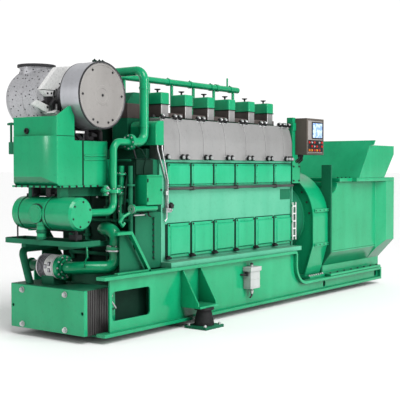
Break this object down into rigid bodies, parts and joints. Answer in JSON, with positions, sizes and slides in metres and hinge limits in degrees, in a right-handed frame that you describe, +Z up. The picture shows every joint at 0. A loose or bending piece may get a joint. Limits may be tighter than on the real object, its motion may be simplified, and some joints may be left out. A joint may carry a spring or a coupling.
{
  "type": "diesel generating set",
  "caption": "Medium-speed in-line diesel engine coupled to an alternator on a common base frame with resilient mounts, for making electric power.",
  "frame": {"origin": "on the ground under the middle of the set's overall box", "axes": "+X along the crankshaft from the engine's front end to the alternator, +Y to the exhaust side, +Z up"},
  "size_m": [5.604, 1.7, 2.496],
  "materials": {
    "green_paint": "glossy enamel, worn at edges",
    "silver_paint": "satin silver enamel",
    "white_lagging": "sheet-clad lagging, satin white",
    "metal_lagging": "dimpled and speckled sheet lagging",
    "dark_steel": "heat-blackened",
    "mount_rubber": "matte black rubber",
    "mount_steel": "black enamel",
    "plate_steel": "stacked plate edges",
    "bright_steel": "turned and oiled",
    "black_plastic": "moulded black",
    "motor_silver": "silver enamel",
    "panel_paint": "bronze-grey enamel",
    "canister_grey": "pale grey enamel"
  },
  "bodies": {
    "root": {"base_rail_near": "green_paint", "base_rail_far": "green_paint", "front_floor": "green_paint", "rear_cross_members": "green_paint", "oil_sump": "green_paint", "mount_bracket_near": "green_paint", "mount_bracket_far": "green_paint", "mount_rubbers": "mount_rubber", "mount_feet": "mount_steel", "cooler_end_plates": "green_paint", "cooler_plates": "plate_steel", "engine_frame": "green_paint", "crankcase_doors": "green_paint", "camshaft_covers": "green_paint", "control_shaft": "bright_steel", "hot_box_panels": "silver_paint", "cam_drive_cover": "green_paint", "cylinder_heads": "green_paint", "rocker_bases": "silver_paint", "rocker_covers": "green_paint", "rocker_knobs": "black_plastic", "exhaust_manifold": "white_lagging", "exhaust_duct": "white_lagging", "water_manifold": "green_paint", "tall_water_pipe": "green_paint", "low_water_pipe": "green_paint", "turbo_silencer": "silver_paint", "turbo_compressor": "silver_paint", "turbine_casing": "metal_lagging", "exhaust_flange": "dark_steel", "turbo_shields": "white_lagging", "turbo_pedestal": "dark_steel", "charge_air_cooler": "green_paint", "cooler_console": "green_paint", "front_top_box": "green_paint", "front_end_casing": "green_paint", "front_bracket_near": "green_paint", "front_bracket_far": "green_paint", "junction_cabinet": "green_paint", "fuel_pipe": "green_paint", "leak_pipes": "bright_steel", "oil_filter_drum": "green_paint", "drum_valve": "green_paint", "drum_saddles": "green_paint", "drip_tray": "green_paint", "water_pump": "motor_silver", "pump_ends": "green_paint", "pump_base": "green_paint", "pump_pipe": "green_paint", "drain_pipe": "green_paint", "panel_post": "green_paint", "control_panel": "panel_paint", "neck_housing": "green_paint", "cable_ladder": "green_paint", "flywheel_guard": "green_paint", "alternator_body": "green_paint", "alternator_end_shield": "green_paint", "alternator_roof": "green_paint", "alternator_hood": "green_paint", "leak_canister": "canister_grey"}
  },
  "joints": []
}
